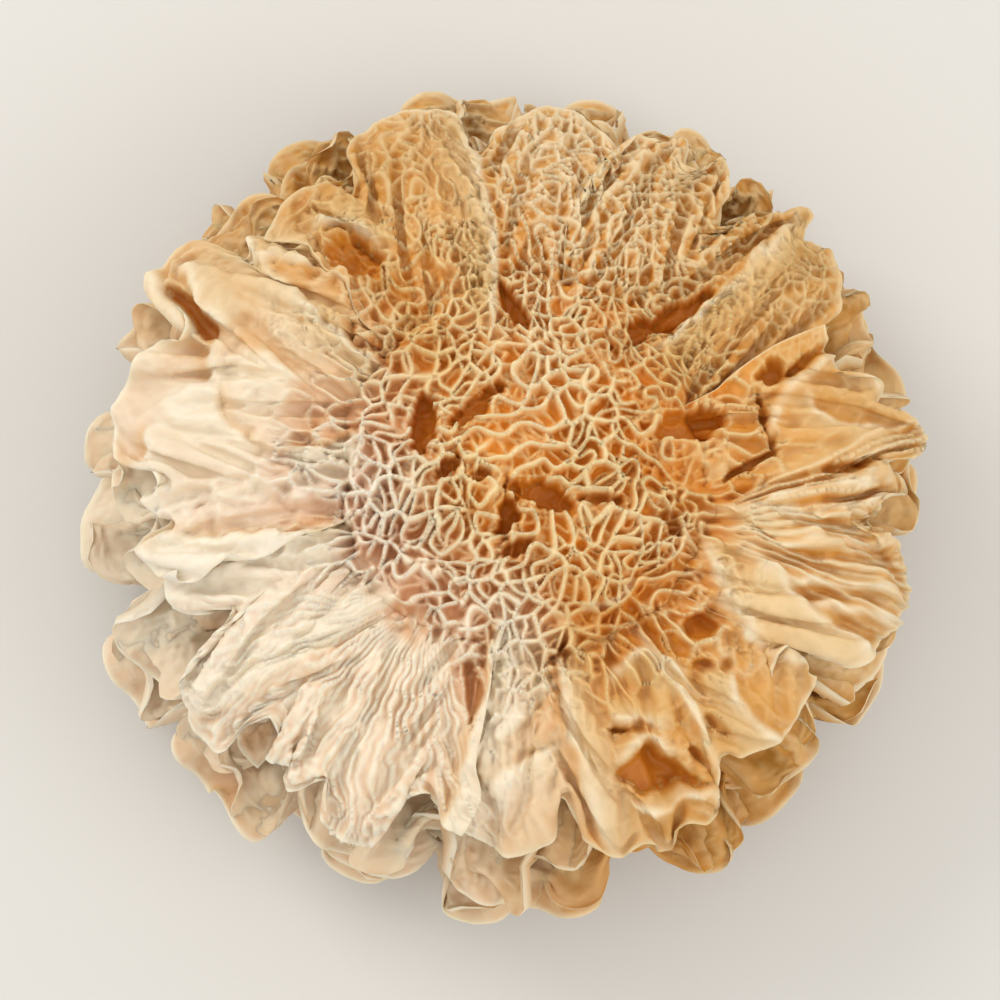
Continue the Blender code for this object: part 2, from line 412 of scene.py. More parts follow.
def pleats(x, y):
    """The fans of pleats: their height, how near a place is to a crest, and how far it is in a fan."""
    height, crest, shown = (np.zeros_like(x) for _ in range(3))
    for k, fan in enumerate(FANS):
        seed = 61 + 100 * k
        away = x + 1j * y - fan.origin
        far = np.abs(away)
        first, last = np.radians(fan.directions)
        turned = np.angle(away * np.exp(-0.5j * (first + last)))
        across = (turned / (last - first) + 0.5) * fan.count
        across += fan.stray * (noise2(x * 0.2, y * 0.2, seed) + 0.5 * noise2(x * 0.7, y * 0.7, seed + 1))
        spacing = far * (last - first) / fan.count
        place = np.rint(across)
        gap = np.abs(across - place) * spacing
        tall = 1 + 0.35 * noise1(place + 40.5, seed + 2)
        tall += 0.5 * fan.stray * noise2(x * 0.5, y * 0.5, seed + 5)
        line = ridge(gap, fan.width)
        raised = tall * np.maximum(line, 0.7 * ridge(gap, 2 * fan.width))
        between = np.floor(across)
        forked = np.abs(across - between - 0.5 - 0.15 * noise1(between + 20.5, seed + 3)) * spacing
        start, fork_from, end = fan.reach
        late = smoothstep(fork_from, fork_from + 4, far + 3 * noise1(between + 10.5, seed + 4))
        fork = 0.6 * ridge(forked, fan.width) * late
        inside = smoothstep(-0.5, 0.5, across) * (1 - smoothstep(fan.count - 0.5, fan.count + 0.5, across))
        inside = inside * smoothstep(start, start + 3, far) * (1 - smoothstep(end - 1, end, far))
        height += fan.height * np.maximum(raised, fork) * inside
        crest += np.maximum(line, fork) * inside
        shown += inside
    return height, crest, shown


def petal_edges(x, y):
    """The listed petals: their height, how pale a place is with a painted sheen beside each edge, how near
    to an edge, and the painted shadow at its foot.
    """
    height, crest, bright, foot = (np.zeros_like(x) for _ in range(4))
    place = x + 1j * y + 0.4 * noise2(x * 0.7, y * 0.7, 71) + 0.4j * noise2(x * 0.7, y * 0.7, 72)
    t = np.linspace(0, 1, EDGE_POINTS)
    last = EDGE_POINTS - 1
    for edge in EDGES:
        start, middle, end = (complex(*point) for point in (edge.start, edge.middle, edge.end))
        control = 2 * middle - (start + end) / 2
        curve = start * (1 - t) ** 2 + 2 * control * t * (1 - t) + end * t**2
        near = np.abs(place - middle) < np.abs(end - start) / 2 + 2.5 * abs(edge.breadth)
        away = place[near][:, None] - curve
        closest = np.argmin(np.abs(away), axis=1)
        heading = np.gradient(curve)[closest]
        gap = away[np.arange(len(away)), closest] * np.conj(heading / np.abs(heading))
        left = gap.imag * edge.breadth > 0
        gap = np.abs(gap.imag)
        fade = smoothstep(0, EDGE_FADE, closest) * (1 - smoothstep(last - EDGE_FADE, last, closest))
        petal = np.where(left, ridge(gap, abs(edge.breadth)), ridge(gap, 0.55))
        height[near] = np.maximum(height[near], edge.height * petal * fade)
        # Painted sheen on the petal just inside its edge, and a painted highlight along the edge over its
        # paler cream
        shine = np.where(left & (abs(edge.breadth) > 1.4), 0.75 * np.sqrt(petal), 0)
        line = np.minimum(1, 1.6 * ridge(gap, 0.32) * fade * (0.7 + 0.3 * noise1(closest / 7, 73)))
        crest[near] = np.maximum(crest[near], np.maximum(line, shine * fade))
        bright[near] = np.maximum(bright[near], line)
        # Painted shadow: darker, more amber colour on the sheet just off an edge, where the petal overhangs
        # it
        below = np.where(left, 0, ridge(gap, 1.1)) * fade * min(1, edge.height / 1.6)
        foot[near] = np.maximum(foot[near], below)
    return height, crest, bright, foot


def petal_rows(x, y):
    """Rows of petals, each with its rim over the roots of the next.

    Gives their height, how near a place is to a rim, how far along a petal, and the painted shadow at a
    rim's foot.
    """
    height, bright, tone, foot = (np.zeros_like(x) for _ in range(4))
    place = x + 1j * y
    draw = np.random.default_rng(91)
    for row, (radius, count, reach) in enumerate(PETAL_ROWS):
        for k in range(count):
            turn, swing, stretch, half, lift, shift = draw.uniform(-1, 1, 6)
            azimuth = 360 * (k + 0.35 * turn) / count
            strength = zone_value("petals", azimuth)
            if strength < 0.1:
                continue
            heading = np.exp(1j * (math.radians(azimuth) + 0.45 * swing))
            root = (radius + 2 * shift) * np.exp(1j * math.radians(azimuth))
            long = reach * (1 + 0.2 * stretch)
            near = np.abs(place - root) < 1.2 * long
            away = (place[near] - root) / heading
            far = np.abs(away)
            side = np.angle(away) / (0.62 + 0.14 * half)
            seed = 2000 + 100 * row + k
            rim = long * (1 - 0.2 * np.abs(side) ** 3 + 0.07 * noise1(side * 2.5 + 9, seed))
            rim += 0.2 * noise1(side * 6 + 30, seed + 50)
            inside = rim - far
            beside = (1 - np.abs(side)) * 0.62 * far
            wavy = 1 + 0.4 * noise1(side * 2.2 + 20, seed + 70)
            raised = strength * (2.1 + 0.6 * lift) * wavy * (far / long) ** 1.4
            raised *= smoothstep(0, 0.8, inside) * smoothstep(0, 2.0, beside)
            # A painted highlight along each petal's rim, over its paler cream
            line = ridge(inside - 0.5, 0.25) * smoothstep(0.3, 1.5, beside) * strength
            over = raised > height[near]
            # Painted shadow on the sheet just beyond a petal's rim, which overhangs it
            below = np.where(inside < 0, ridge(inside, 0.9), 0) * smoothstep(0.3, 1.5, beside) * strength
            foot[near] = np.where(over, 0, np.maximum(foot[near], below))
            bright[near] = np.where(over, line, bright[near])
            tone[near] = np.where(over, far / long, tone[near])
            height[near] = np.maximum(height[near], raised)
    return height, np.clip(bright, 0, 1), np.clip(tone, 0, 1), foot


def hollow(x, y, crest):
    """How deep the hollows are at a place, how far inside one it is, and how near to the lip round one.

    The walls of the net run on a little way down into them.
    """
    depth, inside, lip = (np.zeros_like(x) for _ in range(3))
    ragged = 0.35 * noise2(x * 0.7, y * 0.7, 31) + 0.12 * noise2(x * 1.6, y * 1.6, 32)
    for place_x, place_y, half_length, half_width, direction, deep in HOLLOWS:
        cos, sin = math.cos(math.radians(direction)), math.sin(math.radians(direction))
        dx, dy = x - place_x, y - place_y
        away = np.hypot((dx * cos + dy * sin) / half_length, (dy * cos - dx * sin) / half_width)
        away += ragged + 0.2 * crest
        within = 1 - smoothstep(0.8, 1.12, away)
        depth = np.maximum(depth, 0.8 * deep * within)
        # How far inside a hollow, weighted by its depth; it sets how much painted shade darkens the
        # hollow's colour
        inside = np.maximum(inside, within * min(1, deep / 3) ** 1.5)
        lip = np.maximum(lip, 0.6 * ridge(away - 1.35, 0.16))
    return depth, inside, lip * (1 - inside)


def relief(x, y, seed, is_top):
    """The upper side at a place: the sheet's own folds, its walls, and what the colours depend on."""
    radius = np.hypot(x, y) + 0.5
    turn = np.arctan2(y, x) / (2 * math.pi)
    direction = 360 * turn + 7 * noise2(x * 0.15, y * 0.15, seed + 40)
    names = ("net", "rays", "fringe", "folds", "pale", "amber", "light", "petals", "core", "fine")
    zone = {name: zone_value(name, direction) for name in names}
    if not is_top:
        zone["rays"] = np.maximum(zone["rays"], 0.4)
        zone["fringe"] = np.maximum(zone["fringe"], 0.4)
    warp = [
        0.65 * noise2(x * 0.3, y * 0.3, seed + k) + 0.16 * noise2(x * 0.9, y * 0.9, seed + k + 1)
        for k in (0, 2)
    ]
    standing = 0.3 + 0.7 * smoothstep(-0.5, 0.1, noise2(x * 0.3, y * 0.3, seed + 4))
    net = net_walls(x + warp[0], y + warp[1], seed + 5, standing)
    mask = 0
    if is_top:
        fine = net_walls(FINE_NET * (x + warp[0]), FINE_NET * (y + warp[1]), seed + 50, standing)
        mask = zone["fine"] * smoothstep(9, 15, radius) + 0.25 * noise2(x * 0.4, y * 0.4, seed + 53)
        mask = smoothstep(0.4, 0.6, mask)
        net = net * (1 - mask) + fine * mask
    outwards = sum(
        rays(radius, turn, warp, ray, seed + 10 + 3 * band, standing) for band, ray in enumerate(RAYS)
    )
    ragged = radius + 2.5 * noise2(x * 0.25, y * 0.25, seed + 41)
    beyond = smoothstep(zone["core"] - 1, zone["core"] + 13, ragged)
    netted = zone["net"] - zone["rays"] + 0.35 * noise2(x * 0.25, y * 0.25, seed + 42)
    core = 1 - smoothstep(zone["core"] - 2, zone["core"] + 1, ragged)
    netted = np.maximum(smoothstep(-0.12, 0.12, netted), core)
    crest = netted * net * (1 + (zone["net"] - 1) * beyond)
    crest += (1 - netted) * outwards * (1 + (zone["rays"] - 1) * beyond)
    crest = np.maximum(crest, rays(radius, turn, warp, FRINGE, seed + 20, standing) * zone["fringe"] * 0.8)
    uneven = 1 + 0.3 * noise2(x * 0.25, y * 0.25, seed + 30)
    tall = (1.4 - 0.6 * smoothstep(8, 36, radius)) * uneven * (1 - 0.3 * mask)
    pits = np.maximum(1 - beyond, np.maximum(zone["net"], zone["rays"]))
    walls = tall * crest - FLOOR * (1 - crest) * pits
    soft = noise2(turn * 26, radius / 11, seed + 31, 26)
    soft += 0.2 * noise2(turn * 64, radius / 8, seed + 32, 64)
    folds = 0.8 * zone["folds"] * soft * smoothstep(14, 28, radius)
    smooth = (1 - pits) * (zone["light"] + 0.4 * soft * smoothstep(14, 28, radius))
    zone["light"] = np.clip(crest + (1 - crest) * np.clip(smooth, 0, 1), 0, 1)
    folds += 0.4 * zone["petals"] * noise2(x * 0.13, y * 0.13, seed + 34) * smoothstep(10, 20, radius)
    folds += 0.1 * noise2(x * 1.1, y * 1.1, seed + 33) + 0.1 * ridge(wandering(x, y, 2.6, seed + 35), 0.25)
    return folds, walls, crest, zone


def upper_side(x, y, seed, is_top):
    """What the upper side has at a place: folds, walls, hollows, and what the colours depend on."""
    radius = np.hypot(x, y)
    folds, walls, crest, zone = relief(x, y, seed, is_top)
    light = zone["light"]
    if is_top:
        deep, inside, lip = hollow(x, y, crest)
        petals, shine, line, foot = (calm(field, 2) for field in petal_edges(x, y))
        spared = 1 - smoothstep(0.3, 1.0, petals)
        deep, inside = deep * spared, inside * spared
        rows_height, rows_line, tone, rows_foot_shade = (calm(field, 1) for field in petal_rows(x, y))
        pleat_height, pleat_crest, pleated = pleats(x, y)
        plain = (1 - pleated) * (1 - smoothstep(0.2, 0.9, petals))
        folds = folds + petals + rows_height * plain + pleat_height + 0.5 * lip
        walls = walls * (1 - 0.85 * inside) * (1 - 0.8 * pleated)
        # Painted shade: each petal is darker towards its root, under the rim of the petal before, less so
        # on the crests
        painted_root_shade = 0.6 * zone["petals"] * smoothstep(9, 14, radius) * (1 - tone) * plain
        light = light * (1 - painted_root_shade * (1 - 0.8 * crest))
        light = light * (1 - pleated) + pleat_crest
        # foot is painted shadow at the feet of petal edges and rims: it darkens the sheet, deepens its
        # amber and lessens its paleness
        foot = np.maximum(foot, 0.8 * rows_foot_shade * plain)
        light = light * (1 - 0.7 * foot)
        light = np.maximum(np.maximum(light, shine), lip)
        bright = np.maximum(np.maximum(line, rows_line * plain), 0.7 * pleat_crest)
        bright = np.maximum(bright, 0.5 * crest * zone["net"] * plain * (1 - 0.6 * zone["amber"]))
    else:
        deep, inside, bright, foot, line = (np.zeros_like(x) for _ in range(5))
    # amber: the tissue's deeper tone by zone, plus painted shade at the feet of edges
    amber = np.clip(zone["amber"] * smoothstep(6, 15, radius) + 0.4 * foot, 0, 1)
    # pale: a painted wash of reflected light that pales the colour, most on the left
    pale = zone["pale"] * smoothstep(4, 14, radius) * (1 if is_top else 0.7)
    fields = {
        "crest": np.clip(light, 0, 1) * (1 - inside),
        "reach": smoothstep(8, 38, radius),
        "amber": amber * (1 - 0.8 * line),
        "deep": inside,
        "pale": pale * (1 - 0.4 * foot),
        "bright": np.clip(bright, 0, 1) * (1 - inside),
    }
    return folds, walls, deep, fields


# The fronds' middle surfaces


def vary(number, salt):
    """A fixed value from -1 to 1 that differs from frond to frond, as in the frame's solids."""
    return math.sin(12.9898 * number + 4.1414 * salt + 1.7 * math.sin(number + salt))


def ray_length(length, u, number):
    """Length of each ray with the frame's lobes alone, and with the sheet's own notches and ragged rim."""
    across = 2 * u - 1
    lobes = LOBES + LOBES_VARY * vary(number, 1)
    between_lobes = 0.5 - 0.5 * np.cos(math.pi * (lobes * across + vary(number, 2)))
    plain = REACH * length * (1 - CORNER_DROOP * np.abs(across) ** 3 - LOBE_DEPTH * between_lobes**3)
    ragged = plain + 0.8 * noise1(u * 16, 800 + number) + 0.4 * noise1(u * 45, 900 + number)
    draw = np.random.default_rng(700 + number)
    for _ in range(3):
        place = draw.uniform(-0.85, 0.85)
        depth = draw.uniform(0.03, 0.14)
        width = draw.uniform(0.02, 0.06)
        ragged = ragged - plain * depth * np.exp(-(((across - place) / width) ** 2))
    return plain, ragged


def rows(count, crowding):
    """How far along a frond each row of points lies."""
    t = np.linspace(0, 1, count)
    return t * (1 + crowding - crowding * t)


def frond_surface(ring, fan, number, waved):
    """The frond's middle surface as an array of points across and along it."""
    azimuth, spread, length = fan
    u = np.linspace(0, 1, ring.grid[0])[:, None]
    v = rows(ring.grid[1], ring.crowding)[None, :]
    across = 2 * u - 1
    swirl = noise1(2.5 * v, 950 + number) + 0.35 * noise1(8 * v, 970 + number)
    turn = math.radians(spread + 10) * across / 2 + SWIRL * v * swirl
    turn = turn + math.radians(SIDE_STRAY) * across**6 * noise1(7 * v + 30 * (across > 0), 990 + number)
    lift = math.radians(EDGE_LIFT) * vary(number, 6) * across**2
    start = math.radians(ring.start_elevation + START_VARY * vary(number, 7)) + lift / 2
    end = math.radians(ring.end_elevation + END_VARY * vary(number, 8)) + lift
    bend = (end - start) / length
    plain, ragged = ray_length(length, u, number)
    travelled = v * plain + v**4 * (ragged - plain)
    elevation = start + bend * travelled
    outwards = (np.sin(elevation) - np.sin(start)) / bend
    upwards = (np.cos(start) - np.cos(elevation)) / bend
    if waved:
        waves = RUFFLES + RUFFLES_VARY * vary(number, 3)
        broad = np.sin(2 * math.pi * waves * u + math.pi * vary(number, 4))
        narrow = np.sin(2 * math.pi * FINE_RUFFLES * waves * u + math.pi * vary(number, 5))
        mixed = (1 - FINE_SHARE) * broad + FINE_SHARE * narrow
        wave = 0.2 * ring.cap * ring.ruffle * v**RUFFLE_ONSET * mixed
        outwards = outwards - wave * np.sin(elevation)
        upwards = upwards + wave * np.cos(elevation)
    upwards = upwards + SIDE_LIFT * v * across**5
    root = ring.root_width * across / 2
    sag = root**2 / (2 * BASE_RADIUS)
    local = (
        outwards * np.cos(turn) - sag * np.cos(start),
        outwards * np.sin(turn) + root,
        upwards - sag * np.sin(start),
    )
    cos, sin = math.cos(math.radians(azimuth)), math.sin(math.radians(azimuth))
    rooted = math.radians(ring.root_elevation)
    reach = BASE_RADIUS - SEAM
    out = local[0] + reach * math.cos(rooted)
    up = local[2] + BASE_CENTRE_HEIGHT + reach * math.sin(rooted)
    return np.stack([out * cos - local[1] * sin, out * sin + local[1] * cos, up], axis=-1)


# Growing a sheet: points are joined to their neighbours by threads of the length that they want to have


def along(array, axis, start, stop, step=1):
    """A view of array from start to stop along one axis."""
    index = [slice(None)] * array.ndim
    index[axis] = slice(start, stop, step)
    return array[tuple(index)]


def corner(array, at):
    """A view of the same corner of every cell of a grid. at says which, with 0 or 1 across and along."""
    across, lengthways = array.shape[1:3]
    return array[:, at[0] : across - 1 + at[0], at[1] : lengthways - 1 + at[1]]


def lengths(difference):
    return np.sqrt(np.einsum("...i,...i->...", difference, difference))[..., None]


def threads(surface, axis):
    count = surface.shape[axis]
    return lengths(along(surface, axis, 1, count) - along(surface, axis, 0, count - 1))


def middles(values, axis):
    count = values.shape[axis]
    return (along(values, axis, 1, count) + along(values, axis, 0, count - 1)) / 2


def wanted_lengths(surface, growth_across, growth_along):
    across = threads(surface, 1) * middles(growth_across, 1)
    lengthways = threads(surface, 2) * middles(growth_along, 2)
    slanted = np.hypot(middles(across, 2), middles(lengthways, 1))
    return {"step": {1: across, 2: lengthways}, "slant": slanted}


def relax(points, smooth, wanted, free, rounds, cap):
    """Moves the points until their threads have the lengths that they want, near the smooth sheet."""
    for _ in range(rounds):
        for axis in (1, 2):
            count = points.shape[axis]
            for start in (0, 1):
                a = along(points, axis, start, count - 1, 2)
                b = along(points, axis, start + 1, count, 2)
                free_a = along(free, axis, start, count - 1, 2)
                free_b = along(free, axis, start + 1, count, 2)
                want = along(wanted["step"][axis], axis, start, count - 1, 2)
                gap = b - a
                length = lengths(gap)
                pull = gap * ((length - want) / np.maximum(length * (free_a + free_b), TINY))
                a += free_a * pull
                b -= free_b * pull
        for low, high in (((0, 0), (1, 1)), ((0, 1), (1, 0))):
            a, free_a = corner(points, low), corner(free, low)
            b, free_b = corner(points, high), corner(free, high)
            gap = b - a
            length = lengths(gap)
            pull = SLANT_PULL * gap * (length - wanted["slant"]) / np.maximum(length, TINY)
            a += free_a * pull
            b -= free_b * pull
        for axis in (1, 2):
            count = points.shape[axis]
            pairs = wanted["step"][axis]
            doubled = along(pairs, axis, 0, count - 2) + along(pairs, axis, 1, count - 1)
            for start in range(4):
                a = along(points, axis, start, count - 2, 4)
                b = along(points, axis, start + 2, count, 4)
                want = along(doubled, axis, start, count - 2, 4)
                gap = b - a
                length = lengths(gap)
                pull = gap * np.minimum(length - want, 0) * (STIFFNESS / 2) / np.maximum(length, TINY)
                a += along(free, axis, start, count - 2, 4) * pull
                b -= along(free, axis, start + 2, count, 4) * pull
        strayed = points - smooth
        length = lengths(strayed)
        points -= strayed * np.maximum(length - cap, 0) / np.maximum(length, TINY) / 2
    return points


def finer(points):
    """Twice as many points across and along, on smooth curves through the old ones."""
    for axis in (1, 2):
        count = points.shape[axis]
        place = np.linspace(0, count - 1, 2 * count - 1)
        cell = np.clip(np.floor(place).astype(int), 0, count - 2)
        shape = [1] * points.ndim
        shape[axis] = len(place)
        t = (place - cell).reshape(shape)
        neighbours = (np.clip(cell + k, 0, count - 1) for k in (-1, 0, 1, 2))
        before, start, end, after = (np.take(points, index, axis) for index in neighbours)
        bend = (2 * before - 5 * start + 4 * end - after) * t**2
        bend += (3 * start - before - 3 * end + after) * t**3
        points = (2 * start + (end - before) * t + bend) / 2
    return points


def normals(points):
    normal = np.cross(np.gradient(points, axis=-2), np.gradient(points, axis=-3))
    return normal / np.maximum(lengths(normal), TINY)


def calm(field, rounds):
    """Evens out a field over a grid by averaging each value with its neighbours."""
    for _ in range(rounds):
        for axis in (0, 1):
            padded = np.concatenate([along(field, axis, 0, 1), field, along(field, axis, -1, None)], axis)
            count = padded.shape[axis]
            field = (along(padded, axis, 0, count - 2) + 2 * field + along(padded, axis, 2, count)) / 4
    return field


def grow_ring(ring, first_number):
    """All fronds of a ring as one array of points."""
    numbers = range(first_number, first_number + len(ring.fans))
    smooth = np.stack([frond_surface(ring, fan, n, False) for fan, n in zip(ring.fans, numbers)])
    points = np.stack([frond_surface(ring, fan, n, True) for fan, n in zip(ring.fans, numbers)])
    for detail, rounds in enumerate(FROND_ROUNDS):
        if detail:
            points = finer(points)
            smooth = finer(smooth)
        fronds, across, lengthways = points.shape[:3]
        u, v = np.meshgrid(np.linspace(0, 1, across), rows(lengthways, ring.crowding), indexing="ij")
        facing = normals(points)
        for k, number in enumerate(numbers):
            if detail:
                bumps = 0.15 * noise2(u * 22, v * 8, 300 + number)
            else:
                bumps = noise2(u * 7, v * 3, 100 + number) + 0.5 * noise2(u * 13, v * 5, 200 + number)
                bumps *= (0.1 + 0.8 * v**2) * (ring.cap / 1.6) ** 1.5
            points[k] += facing[k] * bumps[..., None]
        reach = np.broadcast_to(v[None, ..., None], (fronds, across, lengthways, 1))
        growth_across = 1 + ring.growth * reach**3
        growth_along = np.full_like(growth_across, 1 + 0.12 * ring.growth)
        free = np.ones_like(growth_across)
        free[:, :, : 2 + detail] = 0
        cap = 0.4 + ring.cap * reach**1.3
        wanted = wanted_lengths(smooth, growth_across, growth_along)
        points = relax(points, smooth, wanted, free, rounds, cap)
    lobes = grow_lobes(ring, points, smooth) if ring.lobe_lift else None
    return finer(points), lobes


def grow_lobes(ring, fronds, smooth):
    """Two lobes for each frond of a ring, which fork from its upper face and fill the room over it."""
    count, across, lengthways = fronds.shape[:3]
    bases, facings = [], []
    for k in range(count):
        facing = normals(smooth[k])
        for half in range(2):
            first = 0.03 + 0.46 * half + 0.03 * vary(k, half)
            u = np.linspace(first, first + 0.46, LOBE_GRID[0])
            v = np.linspace(LOBE_ROOT + 0.06 * vary(k, 5 + half), 1, LOBE_GRID[1])
            places = (u * (across - 1), v**0.8 * (lengthways - 1))
            at = np.ix_(*(np.rint(place).astype(int) for place in places))
            freed = smoothstep(0, 0.5, np.linspace(0, 1, LOBE_GRID[1]))[None, :, None]
            bases.append(fronds[k][at] * (1 - freed) + smooth[k][at] * freed)
            facings.append(facing[at])
    bases, facings = np.stack(bases), np.stack(facings)
    v = np.linspace(0, 1, LOBE_GRID[1])[None, None, :, None]
    u = np.linspace(0, 1, LOBE_GRID[0])[None, :, None, None]
    inwards = bases[:, :, :1] - bases
    rounded = 0.55 * np.abs(2 * u - 1) ** 3 * v
    smooth = bases + inwards * rounded + facings * (ring.lobe_lift * (1 - np.exp(-3 * v)) - 0.25)
    smooth[..., :2] *= 1 - 0.03 * v
    points = smooth.copy()
    for detail, rounds in enumerate(LOBE_ROUNDS):
        if detail:
            points = finer(points)
            smooth = finer(smooth)
        u, v = np.meshgrid(*(np.linspace(0, 1, n) for n in points.shape[1:3]), indexing="ij")
        for k in range(len(points)):
            bumps = (0.7 - 0.5 * detail) * noise2(u * (5 + 7 * detail), v * (2 + 3 * detail), 500 + k) * v
            points[k] += normals(points[k]) * bumps[..., None]
        reach = np.broadcast_to(v[None, ..., None], (*points.shape[:3], 1))
        free = np.ones_like(reach)
        free[:, :, : 1 + detail] = 0
        wanted = wanted_lengths(smooth, 1 + 0.8 * reach**2, np.full_like(reach, 1.06))
        points = relax(points, smooth, wanted, free, rounds, 0.3 + 1.3 * reach)
    return finer(points)


# Meshes


@dataclass
class Body:
    """One closed sheet: its upper and lower faces, and what its colours need."""

    upper: np.ndarray
    lower: np.ndarray
    fields: dict


def body_faces(upper, lower):
    """The faces that join the two sides of a sheet, as quads and triangles."""
    across, lengthways = upper.shape[:2]
    top = np.arange(across * lengthways).reshape(across, lengthways)
    under = np.arange(lower.shape[0] * lower.shape[1]).reshape(lower.shape[:2]) + top.size

    def cells(index):
        return np.stack([index[:-1, :-1], index[:-1, 1:], index[1:, 1:], index[1:, :-1]], -1).reshape(-1, 4)

    def edge(index):
        return np.concatenate([index[0, :-1], index[:-1, -1], index[-1, :0:-1], index[:0:-1, 0]])

    rim, under_rim = edge(top), edge(under)
    here, between, ahead = rim[::2], rim[1::2], np.roll(rim[::2], -1)
    under_ahead = np.roll(under_rim, -1)
    quads = np.concatenate([cells(top), cells(under)[:, ::-1]])
    triangles = (
        np.stack([between, here, under_rim], -1),
        np.stack([ahead, between, under_ahead], -1),
        np.stack([between, under_rim, under_ahead], -1),
    )
    return quads, np.concatenate(triangles)


def sheet_mesh(name, bodies):
    """One mesh of closed sheets, whose lower faces keep every second point."""
    corners, quads, triangles = [], [], []
    used = 0
    for body in bodies:
        lower = body.lower[::2, ::2]
        body_quads, body_triangles = body_faces(body.upper, lower)
        corners += [body.upper.reshape(-1, 3), lower.reshape(-1, 3)]
        quads.append(body_quads + used)
        triangles.append(body_triangles + used)
        used += body.upper[..., 0].size + lower[..., 0].size
    corners, quads, triangles = (np.concatenate(arrays) for arrays in (corners, quads, triangles))
    mesh = bpy.data.meshes.new(name)
    mesh.vertices.add(len(corners))
    mesh.vertices.foreach_set("co", (corners * MM).astype(np.float32).ravel())
    loops = np.concatenate([quads.ravel(), triangles.ravel()])
    starts = np.concatenate([np.arange(len(quads)) * 4, quads.size + np.arange(len(triangles)) * 3])
    mesh.loops.add(len(loops))
    mesh.loops.foreach_set("vertex_index", loops.astype(np.int32))
    mesh.polygons.add(len(starts))
    mesh.polygons.foreach_set("loop_start", starts.astype(np.int32))
    mesh.update(calc_edges=True)
    mesh.shade_smooth()
    for field in bodies[0].fields:
        grids = [body.fields[field] for body in bodies]
        values = [side.ravel() for grid in grids for side in (grid, grid[::2, ::2])]
        attribute = mesh.attributes.new(field, "FLOAT", "POINT")
        attribute.data.foreach_set("value", np.concatenate(values).astype(np.float32))
    return mesh


def add_object(name, data):
    added = bpy.data.objects.new(name, data)
    bpy.context.scene.collection.objects.link(added)
    return added


def add_piece(name, mesh, material, slot, *replaced):
    mesh.materials.append(material)
    piece = add_object(name, mesh)
    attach(piece, "root")
    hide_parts(*replaced)


def dress(points, ring, seed, is_lobe):
    """Raises the walls on a grown sheet and gives it its thickness, which is least at the free edges."""
    across, lengthways = points.shape[:2]
    along_sheet = np.linspace(0, 1, lengthways) if is_lobe else rows(lengthways, ring.crowding)
    u, v = np.meshgrid(np.linspace(0, 1, across), along_sheet, indexing="ij")
    x, y = points[..., 0], points[..., 1]
    is_top = ring.name == "top_frond"
    folds, walls, deep, fields = upper_side(x, y, seed, is_top)
    rim = np.minimum(1 - v, 2 * (1 - np.abs(2 * u - 1)) * (0.3 + v))
    up = calm(normals(points), NORMAL_ROUNDS) + np.array([0, 0, LEAN_UP])
    up /= lengths(up)
    if is_top:
        radius = np.hypot(x, y)
        level = 1 - smoothstep(17, 24, radius)[..., None]
        up = up * (1 - level) + np.array([0, 0, 1]) * level
        points[..., 2] -= HEART_SINK * (1 - smoothstep(14, 17, radius + seam_stray(x, y)))
    up /= lengths(up)
    sheet = points + up * (folds * smoothstep(0.0, 0.15, v))[..., None]
    taper = ring.relief * smoothstep(0.0, 0.15, v) * (0.15 + 0.85 * smoothstep(0.0, 0.06, rim))
    upper = sheet + up * (walls * taper)[..., None]
    upper[..., 2] -= deep * smoothstep(0.1, 0.3, v)
    rooted = 0 if is_lobe else 0.8 * (1 - smoothstep(0.45, 0.9, v))
    thickness = RIM + (SHEET - RIM) * smoothstep(0.0, 0.1, rim) + rooted + FLOOR * taper
    lower = sheet - up * thickness[..., None]
    lower[..., 2] -= deep
    for face, least in zip((upper, lower), LEAST_HEIGHTS):
        face[..., 2] = np.maximum(face[..., 2], least)
    # The free rim: its paler cream with a painted highlight along it
    edge = 1 - smoothstep(0.0, 0.025, rim)
    fields["crest"] = np.maximum(fields["crest"], 0.9 * edge)
    fields["bright"] = np.maximum(fields["bright"], 0.7 * edge)
    return Body(upper, lower, fields)


def make_fronds(material):
    """Each main frond with the lobes that fork from it."""
    number = 1
    for ring in RINGS:
        fronds, lobes = grow_ring(ring, number)
        for k, points in enumerate(fronds):
            node = f"{ring.name}_{k + 1}"
            seed = TOP_SEED + (0 if ring.name == "top_frond" else FROND_SEED_STEP * number)
            bodies = [dress(points, ring, seed, False)]
            if lobes is not None:
                pair = lobes[2 * k : 2 * k + 2]
                bodies += [dress(lobe, ring, seed + LOBE_SEED_STEP, True) for lobe in pair]
            add_piece(f"{node}_sheet", sheet_mesh(f"{node}_sheet", bodies), material, "frond", node)
            number += 1


def seam_stray(x, y):
    """How far the seam between the folded middle and the top fronds strays from round."""
    return 1.6 * noise2(x * 0.2, y * 0.2, 25) + 0.6 * noise2(x * 0.6, y * 0.6, 26)


